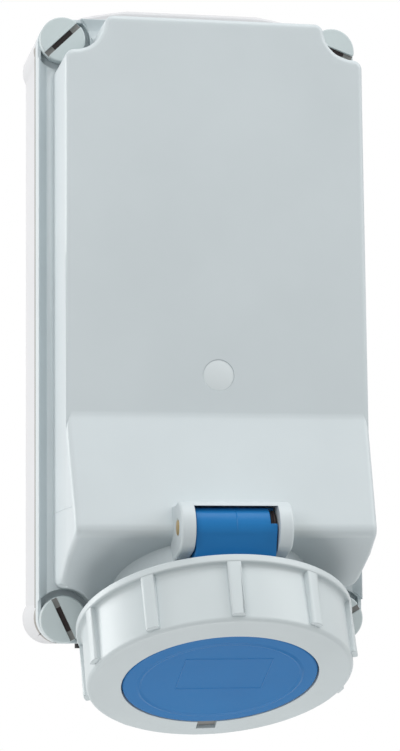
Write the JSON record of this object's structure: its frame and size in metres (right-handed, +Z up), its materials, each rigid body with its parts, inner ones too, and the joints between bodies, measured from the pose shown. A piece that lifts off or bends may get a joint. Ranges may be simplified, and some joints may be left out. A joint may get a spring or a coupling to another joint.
{
  "type": "wall-mounted pin and sleeve socket outlet",
  "caption": "Wall enclosure with a downward slanted pin-and-sleeve socket, a hinged round lid and a ribbed bayonet locking ring.",
  "frame": {"origin": "centre of the flat back that lies on the wall", "axes": "+X to the right seen from the front, +Z up, +Y into the wall"},
  "size_m": [0.139, 0.1426, 0.3126],
  "materials": {
    "base_plastic": "moulded, fine satin",
    "hood_plastic": "moulded, fine satin",
    "ring_plastic": "moulded, satin",
    "screw_plastic": "moulded grey polyamide",
    "blue_plastic": "moulded, satin",
    "carrier_plastic": "moulded, matt",
    "seal_rubber": "matt",
    "brass": "turned",
    "steel": "zinc plated"
  },
  "bodies": {
    "housing": {"rear_housing": "base_plastic", "front_hood": "hood_plastic", "housing_gasket": "seal_rubber", "cover_screws": "screw_plastic", "cover_screw_seals": "seal_rubber", "pillar_inserts": "brass", "drain_plug": "seal_rubber", "contact_carrier": "carrier_plastic", "carrier_gasket": "seal_rubber", "carrier_screws": "steel", "line_contact": "brass", "neutral_contact": "brass", "earth_contact": "brass", "pilot_contact": "brass", "terminal_screws": "steel", "hinge_pin": "brass", "lid_spring": "steel"},
    "lid": {"lid": "blue_plastic", "lid_gasket": "seal_rubber"},
    "ring": {"locking_ring": "ring_plastic"}
  },
  "joints": [
    {"name": "lid_hinge", "type": "hinge", "parent": "housing", "child": "lid", "pos_m": [0, -0.12093, -0.088], "axis": [-1, 0, 0], "range_deg": [0, 110], "stiffness_Nm_per_rad": 0.08, "springref_deg": -85.94},
    {"name": "ring_turn", "type": "hinge", "parent": "lid", "child": "ring", "pos_m": [0, -0.08678, -0.13636], "axis": [0, 0.4384, 0.8988], "range_deg": [0, 40]}
  ]
}
